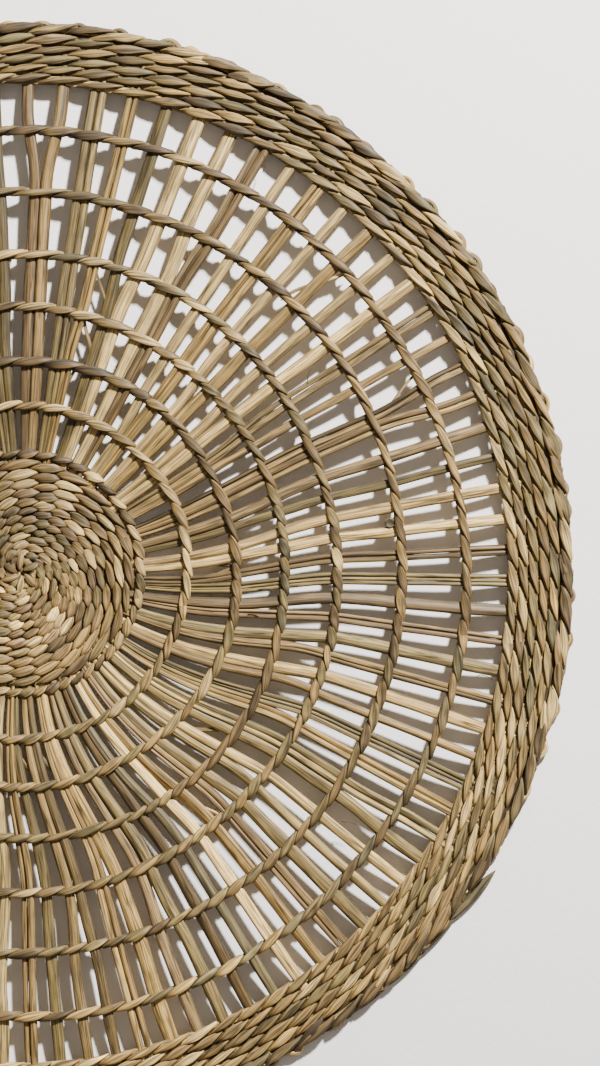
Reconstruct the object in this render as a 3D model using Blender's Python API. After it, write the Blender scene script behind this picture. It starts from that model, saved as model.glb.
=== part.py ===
"""Round seagrass placemat, twined by hand, lying flat.

The mat is one piece: a dense woven centre, stakes that run out from it, six open rows of
twining that hold the stakes, and a dense border with a turned rim. The stakes leave the
centre in pairs that part on the way out, so there are twice as many at the border. Between
the outer rows the mat is open, and the gaps there go right through. Nearer the centre the
gaps are narrower than a stake, and are troughs with a thin floor.

Metres, +Z up. The origin is at the centre of the underside, which is flat.
"""

import math
from collections import namedtuple

import bmesh
import bpy

# Driving dimensions in plan
DIAMETER = 0.380
CENTRE_RADIUS = 0.0415
OPEN_ROW_RADII = (0.0575, 0.0740, 0.0915, 0.1095, 0.1315, 0.1530)
OPEN_ROW_HALF_WIDTH = 0.0016
BORDER_INNER_RADIUS = 0.1684
RIM_WIDTH = 0.0046
STAKE_WIDTH = 0.0036

# Counts
STAKE_PAIRS = 48
FIRST_CUT_BAND = 4
CENTRE_ROWS = 8
CENTRE_COLUMNS = 36
BORDER_ROWS = 5
BORDER_COLUMNS = 72

# Driving dimensions in height
STAKE_TOP = 0.0036
TROUGH_FLOOR = 0.0010
OPEN_ROW_TOP = 0.0050
OPEN_ROW_DIP = 0.0006
CENTRE_TOP = 0.0053
CENTRE_GROOVE = 0.0042
BORDER_TOP = 0.0058
BORDER_GROOVE = 0.0044
RIM_TOP = 0.0062
RIM_EDGE = 0.0030
STITCH_RELIEF = 0.00025

# Unevenness of the hand work
CROWDING_ANGLE = math.radians(6.9)
CROWDED_TOWARDS = math.radians(-65)
MOST_LEAN = math.radians(8)
LEAN_TOWARDS = math.radians(-50)
LEAN_ENDS_RADIUS = 0.112
ROW_WANDER = 0.0009
RIM_WANDER = 0.0007
LOOSE_END_ANGLE = math.radians(-42)
LOOSE_END_HALF_SPAN = math.radians(12)
LOOSE_END_TAPER_FROM = 0.6
LOOSE_END_PROUD = 0.0022
RIM_RIPPLES = 7.0

CENTRE_HUB_RADIUS = 0.0035
MERGE_DISTANCE = 1e-6
STRAW = (0.47, 0.36, 0.20, 1.0)
STRAW_ROUGHNESS = 0.62

# wander_of is the row whose slow wave a line follows, and even_height and odd_height are those of
# its points on even and odd columns.
Line = namedtuple("Line", "radius wander wander_of even_height odd_height")

# The border counts as the row after the last open one.
BORDER = len(OPEN_ROW_RADII)


def smooth_step(value, start, end):
    """0 before start, 1 after end, and an even S between them."""
    share = min(max((value - start) / (end - start), 0.0), 1.0)
    return share * share * (3.0 - 2.0 * share)


def wave(angle, row):
    """A slow wave around the mat, from -1 to 1, with another phase for each row."""
    return 0.6 * math.sin(2.0 * angle + 1.7 * row) + 0.4 * math.sin(5.0 * angle + 2.9 * row)


def lean_of(angle):
    """How far a pair that meets the border at this angle starts behind it at the centre."""
    share = 0.5 + 0.5 * math.cos(angle - LEAN_TOWARDS)
    return MOST_LEAN * share * share


def pair_angle(pair, radius):
    """The angle of the middle of a pair of stakes at this radius."""
    even = 2.0 * math.pi * pair / STAKE_PAIRS
    angle = even - CROWDING_ANGLE * math.sin(even - CROWDED_TOWARDS)
    still_to_lean = 1.0 - smooth_step(radius, CENTRE_RADIUS, LEAN_ENDS_RADIUS)
    return angle - lean_of(angle) * still_to_lean


def stake_angle(stake, radius):
    """The angle of one stake's middle where the pairs have parted: a quarter pitch either side."""
    pair = stake // 2
    before, here, after = (pair_angle(pair + step, radius) for step in (-1, 0, 1))
    if stake % 2:
        return here + 0.25 * (after - here)
    return here - 0.25 * (here - before)


def pair_column_angle(column, radius):
    """Even columns run along the pairs, and odd columns midway between them."""
    pair = column // 2
    if column % 2:
        return 0.5 * (pair_angle(pair, radius) + pair_angle(pair + 1, radius))
    return pair_angle(pair, radius)


def stake_column_angle(column, radius):
    """Two columns to a stake, one along each of its edges."""
    side = 0.5 if column % 2 else -0.5
    return stake_angle(column // 2, radius) + side * STAKE_WIDTH / radius


def even_column_angle(columns):
    """Columns at equal angles, so that some fall exactly on the X and Y axes."""
    return lambda column, radius: 2.0 * math.pi * column / columns


def add_zone(mesh, columns, lines, column_angle, first_line, cut_rows=()):
    """A flat ring of faces: a grid wrapped round the centre, one column for each angle.

    Each point keeps the height that it will be raised to, and the number of its line. In the
    rows named in cut_rows the faces between the stakes are marked as gaps.
    """
    heights = mesh.verts.layers.float["height"]
    numbers = mesh.verts.layers.int["line"]
    is_gap = mesh.faces.layers.int["gap"]
    rows = len(lines) - 1
    grid = bmesh.ops.create_grid(mesh, x_segments=columns, y_segments=rows, size=0.5)["verts"]
    for face in {face for vert in grid for face in vert.link_faces}:
        middle = face.calc_center_median()
        column = int((middle.x + 0.5) * columns)
        row = int((middle.y + 0.5) * rows)
        face[is_gap] = int(row in cut_rows and column % 2 == 1)
    for vert in grid:
        column = round((vert.co.x + 0.5) * columns) % columns
        row = round((vert.co.y + 0.5) * rows)
        line = lines[row]
        angle = column_angle(column, line.radius)
        radius = line.radius + line.wander * wave(angle, line.wander_of)
        vert[heights] = line.odd_height if column % 2 else line.even_height
        vert[numbers] = first_line + row
        vert.co = (radius * math.cos(angle), radius * math.sin(angle), 0.0)
    bmesh.ops.remove_doubles(mesh, verts=grid, dist=MERGE_DISTANCE)
    return first_line + len(lines)


def line_edges(mesh, number):
    """The closed loop of edges along one numbered line."""
    numbers = mesh.verts.layers.int["line"]
    return [edge for edge in mesh.edges if all(vert[numbers] == number for vert in edge.verts)]


def bridge(mesh, number):
    """Faces from one zone's last line to the next zone's first, which has another count of points."""
    is_gap = mesh.faces.layers.int["gap"]
    loops = line_edges(mesh, number) + line_edges(mesh, number + 1)
    for face in bmesh.ops.bridge_loops(mesh, edges=loops)["faces"]:
        face[is_gap] = 0


def centre_lines():
    """Grooved rows of twining from the hub out, with the stitches of each row set off from the last."""
    lines = [Line(CENTRE_HUB_RADIUS, 0.0, 0, CENTRE_GROOVE, CENTRE_GROOVE)]
    pitch = (CENTRE_RADIUS - CENTRE_HUB_RADIUS) / CENTRE_ROWS
    for row in range(CENTRE_ROWS):
        inner = CENTRE_HUB_RADIUS + row * pitch
        relief = STITCH_RELIEF if row % 2 else -STITCH_RELIEF
        lines.append(Line(inner + 0.5 * pitch, 0.0, 0, CENTRE_TOP + relief, CENTRE_TOP - relief))
        lines.append(Line(inner + pitch, 0.0, 0, CENTRE_GROOVE, CENTRE_GROOVE))
    return lines


def open_row_lines(row, even_heights, odd_heights):
    """The inner foot, the crest and the outer foot of one open row.

    Each pair of heights is the foot's and the crest's.
    """
    radius = OPEN_ROW_RADII[row]
    foot = (row, even_heights[0], odd_heights[0])
    crest = (row, even_heights[1], odd_heights[1])
    return [
        Line(radius - OPEN_ROW_HALF_WIDTH, ROW_WANDER, *foot),
        Line(radius, ROW_WANDER, *crest),
        Line(radius + OPEN_ROW_HALF_WIDTH, ROW_WANDER, *foot),
    ]


def paired_lines():
    """Where the stakes lie in pairs: from the centre to the crest of the last row before the cut bands."""
    lines = [Line(CENTRE_RADIUS + OPEN_ROW_HALF_WIDTH, 0.0, 0, STAKE_TOP, TROUGH_FLOOR)]
    on_pair = (STAKE_TOP, OPEN_ROW_TOP)
    between_pairs = (TROUGH_FLOOR, OPEN_ROW_TOP - OPEN_ROW_DIP)
    for row in range(FIRST_CUT_BAND):
        lines += open_row_lines(row, on_pair, between_pairs)
    return lines[:-1]


def parted_lines():
    """Where the stakes stand singly: from the last paired row's outer foot to the border."""
    last_paired = FIRST_CUT_BAND - 1
    stake_edge = (STAKE_TOP, OPEN_ROW_TOP)
    lines = open_row_lines(last_paired, stake_edge, stake_edge)[-1:]
    for row in range(FIRST_CUT_BAND, BORDER):
        lines += open_row_lines(row, stake_edge, stake_edge)
    lines.append(Line(BORDER_INNER_RADIUS, ROW_WANDER, BORDER, STAKE_TOP, STAKE_TOP))
    return lines


def border_lines():
    """Close rows of twining, then the turned rim, whose outer foot is the mat's edge."""
    outer = 0.5 * DIAMETER
    inner = BORDER_INNER_RADIUS
    pitch = (outer - RIM_WIDTH - inner) / BORDER_ROWS
    lines = []
    for row in range(BORDER_ROWS):
        crest = inner + (row + 0.5) * pitch
        groove = inner + (row + 1) * pitch
        wander = ROW_WANDER * (BORDER_ROWS - row) / (BORDER_ROWS + 1)
        relief = STITCH_RELIEF if row % 2 else -STITCH_RELIEF
        lines.append(Line(crest, wander, BORDER, BORDER_TOP + relief, BORDER_TOP - relief))
        lines.append(Line(groove, wander, BORDER, BORDER_GROOVE, BORDER_GROOVE))
    rim_top = outer - 0.5 * RIM_WIDTH
    lines.append(Line(rim_top, 0.0, BORDER, RIM_TOP - STITCH_RELIEF, RIM_TOP))
    lines.append(Line(outer, 0.0, BORDER, RIM_EDGE, RIM_EDGE))
    return lines


def cut_gaps(mesh):
    """Takes the marked faces out of the flat sheet."""
    is_gap = mesh.faces.layers.int["gap"]
    gaps = [face for face in mesh.faces if face[is_gap]]
    bmesh.ops.delete(mesh, geom=gaps, context="FACES")


def shape_edge(mesh, number):
    """Draws the mat's edge in and out a little, away from its widest points on the X and Y axes."""
    numbers = mesh.verts.layers.int["line"]
    for vert in mesh.verts:
        if vert[numbers] != number:
            continue
        angle = math.atan2(vert.co.y, vert.co.x)
        off_axis = math.sin(2.0 * angle) ** 2
        drawn_in = RIM_WANDER * off_axis * (1.0 + wave(RIM_RIPPLES * angle, BORDER))
        from_loose_end = abs(angle - LOOSE_END_ANGLE) / LOOSE_END_HALF_SPAN
        proud = LOOSE_END_PROUD * (1.0 - smooth_step(from_loose_end, LOOSE_END_TAPER_FROM, 1.0))
        vert.co *= 1.0 + (proud - drawn_in) / (0.5 * DIAMETER)


def raise_solid(mesh):
    """Turns the flat sheet, with its gaps, into the solid: the top rises and the underside stays flat."""
    heights = mesh.verts.layers.float["height"]
    raised = bmesh.ops.extrude_face_region(mesh, geom=mesh.faces[:])["geom"]
    for item in raised:
        if isinstance(item, bmesh.types.BMVert):
            item.co.z = item[heights]
    bmesh.ops.recalc_face_normals(mesh, faces=mesh.faces[:])


def straw_material():
    """Dry seagrass: a warm grey-brown straw with a soft sheen."""
    material = bpy.data.materials.new("dry_seagrass")
    material.use_nodes = True
    shader = material.node_tree.nodes["Principled BSDF"]
    shader.inputs["Base Color"].default_value = STRAW
    shader.inputs["Roughness"].default_value = STRAW_ROUGHNESS
    shader.inputs["Metallic"].default_value = 0.0
    return material


def build_mat(collection):
    """The whole mat as one object."""
    mesh = bmesh.new()
    mesh.verts.layers.float.new("height")
    mesh.verts.layers.int.new("line")
    mesh.faces.layers.int.new("gap")
    centre = even_column_angle(CENTRE_COLUMNS)
    border = even_column_angle(BORDER_COLUMNS)
    first_paired = add_zone(mesh, CENTRE_COLUMNS, centre_lines(), centre, 1)
    first_parted = add_zone(mesh, 2 * STAKE_PAIRS, paired_lines(), pair_column_angle, first_paired)
    parted = parted_lines()
    cut_rows = range(0, len(parted) - 1, 3)
    first_border = add_zone(mesh, 4 * STAKE_PAIRS, parted, stake_column_angle, first_parted, cut_rows)
    after_border = add_zone(mesh, BORDER_COLUMNS, border_lines(), border, first_border)
    for first_line in (first_paired, first_parted, first_border):
        bridge(mesh, first_line - 1)
    bmesh.ops.contextual_create(mesh, geom=line_edges(mesh, 1))
    cut_gaps(mesh)
    shape_edge(mesh, after_border - 1)
    raise_solid(mesh)
    data = bpy.data.meshes.new("woven_mat")
    mesh.to_mesh(data)
    mesh.free()
    data.materials.append(straw_material())
    mat = bpy.data.objects.new("woven_mat", data)
    collection.objects.link(mat)
    return mat


def main():
    for obj in list(bpy.data.objects):
        bpy.data.objects.remove(obj, do_unlink=True)
    collection = bpy.data.collections.new("seagrass_placemat")
    bpy.context.scene.collection.children.link(collection)
    build_mat(collection)


main()
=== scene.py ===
import math
import random

import bpy
import numpy as np
from bpy.props import FloatProperty, FloatVectorProperty, IntProperty, PointerProperty
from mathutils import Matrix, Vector


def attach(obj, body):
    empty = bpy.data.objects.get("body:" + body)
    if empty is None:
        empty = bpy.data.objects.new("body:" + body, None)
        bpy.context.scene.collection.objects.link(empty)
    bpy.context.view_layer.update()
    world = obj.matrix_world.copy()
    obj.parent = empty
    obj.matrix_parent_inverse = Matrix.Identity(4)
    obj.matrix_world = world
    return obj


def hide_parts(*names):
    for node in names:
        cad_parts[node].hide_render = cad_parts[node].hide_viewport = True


bl_info = {
    "name": "Twined seagrass placemat",
    "version": (1, 0, 0),
    "blender": (4, 5, 0),
    "location": "3D View > Sidebar > Placemat",
    "description": "Twines a round open-weave placemat from strands and stems of seagrass",
    "category": "Object",
}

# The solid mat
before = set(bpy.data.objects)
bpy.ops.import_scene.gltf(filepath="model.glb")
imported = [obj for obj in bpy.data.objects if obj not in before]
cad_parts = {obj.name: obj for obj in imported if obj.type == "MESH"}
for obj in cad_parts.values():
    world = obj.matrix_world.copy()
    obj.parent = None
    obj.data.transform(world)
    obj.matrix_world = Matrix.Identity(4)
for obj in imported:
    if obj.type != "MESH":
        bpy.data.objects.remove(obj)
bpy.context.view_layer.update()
MAT_NODE = "woven_mat"
MAT_BODY = "root"

MM = 0.001
FULL_TURN = 2.0 * math.pi
QUARTER_TURN = 0.5 * math.pi
UP = np.array([0.0, 0.0, 1.0])
BOTH_SIDES = (-1, 1)

# The plan that the mat's solid has too, in metres and radians
CENTRE_RADIUS = 0.0415
OPEN_ROW_RADII = (0.0575, 0.0740, 0.0915, 0.1095, 0.1315, 0.1530)
BORDER_START = 0.1684
BORDER = len(OPEN_ROW_RADII)
BORDER_ROWS = 5
STAKE_PAIRS = 48

# The pairs crowd together towards one side, and lean back near the centre on another
CROWDING_ANGLE = math.radians(6.9)
CROWDED_TOWARDS = math.radians(-65)
MOST_LEAN = math.radians(8)
LEAN_TOWARDS = math.radians(-50)
LEAN_ENDS_RADIUS = 0.112

# How far a row strays from its circle, in waves: their strength, number and shift per row
ROW_WANDER = 0.0009
ROW_WAVES = ((0.6, 2.0, 1.7), (0.4, 5.0, 2.9))

# How many pairs of stakes part outside each open row, and from where to where they do
PAIRS_PARTING_AT_ROW = (8, 18, 12, 6, 4, 0)
PARTING_SEED = 11
PARTING_STARTS = 1.5 * MM
PARTING_ENDS = 1.35

# The dried web stands this far clear of the table between the centre and the border
WEB_LIFT = 0.0032
LIFT_RISES = (0.040, 0.072)
LIFT_FALLS = (0.148, 0.187)

# The colours are paler towards the mat's lower right and darker towards its upper left, by this share
PALER_SHARE = 0.29
PALER_TOWARDS = math.radians(-75)

# A blade's inner side is paler, and this share of its stitches have that side up
PALE_SIDE_SHARE = 0.055

# A blade or stem is painted darker at its edges than along its middle, by up to this share: painted shade,
# so that it looks rounder
EDGE_PAINTED_SHADE = 0.32

# No strand reaches lower than this: where one would, it lies pressed flat on the table
TOUCH_HEIGHT = 0.05 * MM

# Each tube has this many sides, and this many rings of points to a stitch or a stem
SIDES = 10
RINGS_PER_STITCH = 10
RINGS_PER_STEM = 42

# A tube's upper and lower faces are flatter than its edges are upright, by this factor
FLATNESS = 1.25

# Points closer than this are one point: it closes each tube's seam and ends
MERGE_DISTANCE = 1e-6

# How a row's stitches differ, and how many a strand makes before another is spliced in
STITCHES_PER_BLADE = (4, 14)
STITCH_WIDTHS = (0.74, 1.2)
STITCH_FOLDS = (-0.12, 0.0, 0.1, 0.25, 0.4)
STITCH_RISES = (0.92, 1.1)
STITCH_BRIGHTNESS = (0.76, 1.28)

# A stitch holds its width and shade this far each side of its middle, in stakes
STITCH_HELD = 0.75

# A route is rounded by mixing each place with those this far off, in stakes, by this share
ROUNDING = ((-0.3, 0.25), (0, 0.5), (0.3, 0.25))

# A stitch's way across its row, and its rise: the lower the power, the steeper beside a stake
STRAIGHT_SHARE = 0.7
WAVE_SHARE = 0.3
RISE_POWER = 0.6

# A stitch's broad side leans to the row's edge and faces up early. Its tips are folded thicker
EDGE_LEAN = 0.45
EARLY_UP = 0.15
FOLDED_THICKNESS = 0.5
STRAND_SQUARENESS = 0.48

# The folded edges inside a row's twist. Their colour is darkened by a share, as painted shade deep in the
# twist
CORE_HEIGHT = 0.3 * MM
CORE_HALF_DEPTH = 0.45 * MM
CORE_PAINTED_SHADE = 0.7

# The photo's frame and the mat's centre in it, in pixels
FRAME_PIXELS = (600, 1066)
MAT_CENTRE_PIXEL = (22, 573)
PIXEL = 0.346 * MM
CAMERA_HEIGHT = 1.25
SENSOR = 36.0
CLIP_START = 0.01

# How often each shade turns up
STEM_SHADES = dict(straw=17, tan=19, olive=18, cream=19, rose=7, brown=16, sage=4)
TWINE_SHADES = dict(tan=24, olive=25, straw=15, brown=18, sage=5, cream=9)
CENTRE_SHADES = dict(straw=15, tan=23, olive=19, cream=15, rose=13, brown=17, sage=4)
BORDER_SHADES = dict(tan=28, olive=24, brown=14, straw=15, rose=8, sage=4, cream=4)
RIM_SHADES = dict(tan=22, olive=20, brown=26, umber=14, cream=8, sage=5)


def linear(hex_colour):
    """An sRGB hex colour as linear red, green and blue."""
    channels = (int(hex_colour[i:i + 2], 16) / 255.0 for i in (1, 3, 5))
    return tuple(c / 12.92 if c <= 0.04045 else ((c + 0.055) / 1.055) ** 2.4 for c in channels)


def smooth_step(value, start, end):
    """0 before start, 1 after end, and an even S between them."""
    share = np.clip((value - start) / (end - start), 0.0, 1.0)
    return share * share * (3.0 - 2.0 * share)


def web_lift(radius):
    """How far the web stands clear of the table at this radius."""
    return WEB_LIFT * smooth_step(radius, *LIFT_RISES) * (1.0 - smooth_step(radius, *LIFT_FALLS))


def paler(angle):
    """How much paler or darker the colours are made at this angle round the mat."""
    return 1.0 + PALER_SHARE * np.cos(angle - PALER_TOWARDS)


def wave(angle, row):
    """A slow wave around the mat, from -1 to 1, with another phase for each row."""
    return sum(strength * np.sin(times * angle + shift * row) for strength, times, shift in ROW_WAVES)


def unit(vectors):
    """The vectors at length 1."""
    return vectors / np.maximum(np.linalg.norm(vectors, axis=-1, keepdims=True), 1e-12)


def polar(radius, angle, height):
    """Points at these radii, angles and heights."""
    angle = np.asarray(angle)
    return np.stack([radius * np.cos(angle), radius * np.sin(angle), height + 0.0 * angle], axis=-1)


def lengths_along(points):
    """How far along a line of points each one lies."""
    steps = np.linalg.norm(np.diff(points, axis=0), axis=1)
    return np.concatenate([[0.0], np.cumsum(steps)])


def closed_ends(rings):
    """1 at each ring of a tube and 0 at its first and last, where it closes to a point."""
    shares = np.ones(rings)
    shares[[0, -1]] = 0.0
    return shares


def lean_of(angle):
    """How far a pair that meets the border at this angle starts behind it at the centre."""
    share = 0.5 + 0.5 * math.cos(angle - LEAN_TOWARDS)
    return MOST_LEAN * share * share


def pair_angle(pair, radius):
    """The angle of the middle of a pair of stakes at this radius."""
    even = FULL_TURN * pair / STAKE_PAIRS
    angle = even - CROWDING_ANGLE * math.sin(even - CROWDED_TOWARDS)
    still_to_lean = 1.0 - smooth_step(radius, CENTRE_RADIUS, LEAN_ENDS_RADIUS)
    return angle - lean_of(angle) * still_to_lean


def parting_rows():
    """For each pair, the open row outside which its two stakes part."""
    rows = [row for row, count in enumerate(PAIRS_PARTING_AT_ROW) for _ in range(count)]
    random.Random(PARTING_SEED).shuffle(rows)
    return rows


PARTS_AT = parting_rows()


def half_spread(pair, side, radius, touching):
    """The angle from a pair's middle to one of its stakes: touching at first, then a quarter pitch."""
    row = PARTS_AT[pair % STAKE_PAIRS]
    rows = OPEN_ROW_RADII + (BORDER_START,)
    start = rows[row] + PARTING_STARTS
    end = rows[row] + PARTING_ENDS * (rows[row + 1] - rows[row])
    parted = 0.25 * abs(pair_angle(pair + side, radius) - pair_angle(pair, radius))
    share = smooth_step(radius, start, end)
    return touching * (1.0 - share) + parted * share


def stake_angles(pair, radius, touching):
    """The angles of a pair's two stakes at this radius."""
    here = pair_angle(pair, radius)
    return [here + side * half_spread(pair, side, radius, touching) for side in BOTH_SIDES]


def shade_of(name):
    """One of the shades that seagrass dries to, by its name."""
    return np.array(getattr(bpy.context.scene.grass_shades, name))


def pick_shade(rng, shades):
    """One of the shades, by its weight."""
    return shade_of(rng.choices(list(shades), list(shades.values()))[0])


def turn_of(side):
    """How far round a tube one of its sides lies. The first is its underside."""
    return FULL_TURN * side / SIDES - QUARTER_TURN


def section_at(turn, squareness):
    """How far a tube's outline reaches across and outward at these turns, from -1 to 1."""
    wide, deep = np.cos(turn), np.sin(turn)
    wide = np.sign(wide) * np.abs(wide) ** (1.0 - squareness)
    deep = np.sign(deep) * np.abs(deep) ** (1.0 - FLATNESS * squareness)
    return wide, deep


def lay_tube(
    name, centre, half_width, half_depth, colour,
    outward=UP, fold=0.0, squareness=0.3, closed=False, upright=False,
):
    """A flattened tube of plant fibre along a route.

    It is a grid laid along the route, a column of points to each place on it, and folded round.
    outward is the way that its broad side faces. Where fold is above 0 the blade is creased
    along its middle, and below 0 it has a raised rib there. squareness runs from 0, oval, to
    about 0.5, a flat strip. upright is for a route straight up whose end turns in on itself.
    """
    rings = len(centre)
    colour = np.broadcast_to(colour, (rings, 3))
    outward = np.broadcast_to(outward, (rings, 3))
    half_width, half_depth, fold = (np.broadcast_to(v, rings) for v in (half_width, half_depth, fold))
    if closed:
        tangent = unit(np.roll(centre, -1, axis=0) - np.roll(centre, 1, axis=0))
    elif upright:
        tangent = np.broadcast_to(UP, (rings, 3))
    else:
        tangent = unit(np.gradient(centre, axis=0))
    outward = unit(outward - tangent * (outward * tangent).sum(axis=1, keepdims=True))
    across = np.cross(tangent, outward)
    if closed:
        open_ended = (centre, outward, across, half_width, half_depth, colour, fold)
        centre, outward, across, half_width, half_depth, colour, fold = (
            np.concatenate([values, values[:1]]) for values in open_ended
        )
    cells = len(centre) - 1

    bpy.ops.mesh.primitive_grid_add(x_subdivisions=cells, y_subdivisions=SIDES, size=1.0)
    tube = bpy.context.object
    tube.name = name
    mesh = tube.data
    flat = np.empty(len(mesh.vertices) * 3, np.float32)
    mesh.vertices.foreach_get("co", flat)
    flat = flat.reshape(-1, 3)
    place = np.rint((flat[:, 0] + 0.5) * cells).astype(int)
    turn = turn_of(np.rint((flat[:, 1] + 0.5) * SIDES).astype(int) % SIDES)
    wide, deep = section_at(turn, squareness)
    on_ridge = np.isclose(np.abs(np.sin(turn)), 1.0)
    deep = deep * np.where(on_ridge, 1.0 - fold[place], 1.0)
    points = (
        centre[place]
        + across[place] * (wide * half_width[place])[:, None]
        + outward[place] * (deep * half_depth[place])[:, None]
    )
    points[:, 2] = np.maximum(points[:, 2], TOUCH_HEIGHT)
    mesh.vertices.foreach_set("co", points.astype(np.float32).ravel())

    uv_map = mesh.uv_layers.active.data
    corners = np.empty(len(mesh.loops) * 2, np.float32)
    uv_map.foreach_get("uv", corners)
    corners = corners.reshape(-1, 2)
    wide, deep = section_at(turn_of(np.arange(SIDES + 1)), squareness)
    outline = np.stack([wide * np.median(half_width), deep * np.median(half_depth)], axis=1)
    start = random.Random(name).random()
    lengths = start + lengths_along(centre)[np.rint(corners[:, 0] * cells).astype(int)]
    girths = start + lengths_along(outline)[np.rint(corners[:, 1] * SIDES).astype(int)]
    uv_map.foreach_set("uv", np.stack([lengths, girths], axis=1).astype(np.float32).ravel())

    # Painted shade: each tube's colour is darker towards its edges, where it turns away from the light
    painted_edge_shade = 1.0 - EDGE_PAINTED_SHADE * np.abs(np.cos(turn)) ** 3
    rgba = np.ones((len(place), 4), np.float32)
    rgba[:, :3] = colour[place] * painted_edge_shade[:, None]
    shades = mesh.color_attributes.new("shade", "FLOAT_COLOR", "POINT")
    shades.data.foreach_set("color", rgba.ravel())
    mesh.update()
    return tube


def leaf(name, start, end, bow, half_width, half_depth, colour, fold=0.0):
    """A short pointed blade from start to end that bows up in its middle."""
    places = np.linspace(0.0, 1.0, 12)
    centre = start + places[:, None] * (end - start)
    centre[:, 2] += bow * np.sin(math.pi * places)
    taper = np.sin(math.pi * places) ** 0.7
    taper[[0, -1]] = 0.0
    return lay_tube(name, centre, half_width * taper, half_depth * taper, colour, fold=fold)


def finish_piece(name, tubes, material):
    """Joins tubes into one smooth piece, and says what it rides on and stands for."""
    bpy.ops.object.select_all(action="DESELECT")
    for tube in tubes:
        tube.select_set(True)
    bpy.context.view_layer.objects.active = tubes[0]
    bpy.ops.object.join()
    piece = bpy.context.object
    piece.name = name
    piece.data.name = name
    bpy.ops.object.mode_set(mode="EDIT")
    bpy.ops.mesh.select_all(action="SELECT")
    bpy.ops.mesh.remove_doubles(threshold=MERGE_DISTANCE)
    bpy.ops.object.mode_set(mode="OBJECT")
    bpy.ops.object.shade_smooth()
    piece.select_set(False)
    piece.data.materials.clear()
    piece.data.materials.append(material)
    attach(piece, MAT_BODY)
    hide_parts(MAT_NODE)


def stitch_values(values, first, places):
    """A value for each front stitch, held along it and blended where the strand is behind."""
    count = len(values)
    centres = first + 2.0 * np.arange(-1, count + 1)
    held = np.asarray(values)[np.arange(-1, count + 1) % count]
    knots = np.stack([centres - STITCH_HELD, centres + STITCH_HELD], axis=1).ravel()
    return np.interp(places, knots, np.repeat(held, 2))


def strand_shades(stitches, rng, shades, variety):
    """A colour for each front stitch: the strand's own for a while, until another is spliced in."""
    colours = []
    while len(colours) < stitches:
        base = pick_shade(rng, shades)
        for _ in range(rng.randint(*STITCHES_PER_BLADE)):
            shade = pick_shade(rng, shades)
            mixed = base + variety * rng.random() * (shade - base)
            if rng.random() < PALE_SIDE_SHARE:
                mixed = shade_of("cream")
            colours.append(mixed * rng.uniform(*STITCH_BRIGHTNESS))
    return np.array(colours[:stitches])


def twine_look(sizes, shades, variety, **changes):
    """The usual look of a row's strands and twist, with changes.

    side and rise are the twist's reach to the side and up, and height is that of its middle. A
    stitch is a long diamond: neck is the share of its width that is left at its tips, the larger
    its bluntness, the shorter they are, and the larger its overlap, the further it runs on beside
    the next one before it dips behind a stake. There it goes down by the share dip of its rise
    and spreads by the share spread of its width. core is the half width of what fills the twist.
    """
    usual = dict(
        half_width=0.5 * sizes.twine_width,
        half_depth=0.5 * sizes.twine_depth,
        side=0.85 * MM,
        rise=0.5 * (1.6 * MM + sizes.twine_depth),
        height=sizes.mid_height,
        looseness=0.22 * MM,
        core=1.1 * MM,
    )
    stitch = dict(neck=0.5, bluntness=1.3, overlap=0.44, dip=0.75, spread=0.6)
    return {**usual, **stitch, **changes, "shades": shades, "variety": variety}


def twine_row(name, angles, radius, look, rng, wave_row=0, wander=0.0):
    """The two strands of one row, which twist round each other once for every two stakes.

    angles are the stakes' own, in order round the mat.
    """
    count = len(angles)
    places = np.arange(count * RINGS_PER_STITCH) / RINGS_PER_STITCH
    knots = np.arange(-2, count + 3)
    at_knots = np.asarray(angles)[knots % count] + (knots // count) * FULL_TURN
    angle = sum(share * np.interp(places + off, knots, at_knots) for off, share in ROUNDING)
    drift = np.array([rng.uniform(-1.0, 1.0) for _ in range(count)]) * look["looseness"]
    drift = np.interp(places, np.arange(count + 1), np.append(drift, drift[0]))
    middle = radius + wander * wave(angle, wave_row) + drift
    dip_angle = math.asin(look["overlap"])
    front_span = math.pi + 2.0 * dip_angle
    stitches = count // 2
    strands = []
    for strand in (0, 1):
        first = float(strand)
        widths = [rng.uniform(*STITCH_WIDTHS) for _ in range(stitches)]
        folds = [rng.choice(STITCH_FOLDS) for _ in range(stitches)]
        rises = [rng.uniform(*STITCH_RISES) for _ in range(stitches)]
        hues = strand_shades(stitches, rng, look["shades"], look["variety"])
        width, fold, lift = (stitch_values(values, first, places) for values in (widths, folds, rises))
        colour = np.stack([stitch_values(hues[:, c], first, places) for c in range(3)], axis=1)
        colour = colour * paler(angle)[:, None]

        phase = math.pi * (places + 0.5 + strand)
        front = np.sin(phase) + look["overlap"]
        turned = np.mod(phase + dip_angle, FULL_TURN)
        behind = (turned - front_span) / (FULL_TURN - front_span)
        share = np.where(turned < front_span, turned / front_span, behind)
        shown = np.minimum(1.0, look["bluntness"] * (1.0 - np.abs(2.0 * share - 1.0)))
        straight = np.interp(turned, (0.0, front_span, FULL_TURN), (1.0, -1.0, 1.0))
        to_side = look["side"] * (STRAIGHT_SHARE * straight + WAVE_SHARE * np.cos(phase))
        reach = np.minimum(np.abs(front), 1.0) ** RISE_POWER
        up = look["rise"] * lift * np.where(front > 0.0, reach, -look["dip"] * reach)
        centre = polar(middle + to_side, angle, look["height"] + web_lift(middle) + up)

        radial = polar(1.0, angle, 0.0)
        outward = radial * (EDGE_LEAN * np.cos(phase))[:, None] + UP * (front + EARLY_UP)[:, None]
        half_width = look["half_width"] * width * (look["neck"] + (1.0 - look["neck"]) * shown)
        half_width = half_width * (1.0 + look["spread"] * np.clip(-front, 0.0, 1.0))
        half_depth = look["half_depth"] * (1.0 + FOLDED_THICKNESS - FOLDED_THICKNESS * shown)
        form = (half_width, half_depth, colour, outward, fold, STRAND_SQUARENESS)
        strands.append(lay_tube(f"{name}_{strand}", centre, *form, closed=True))
    return strands


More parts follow.
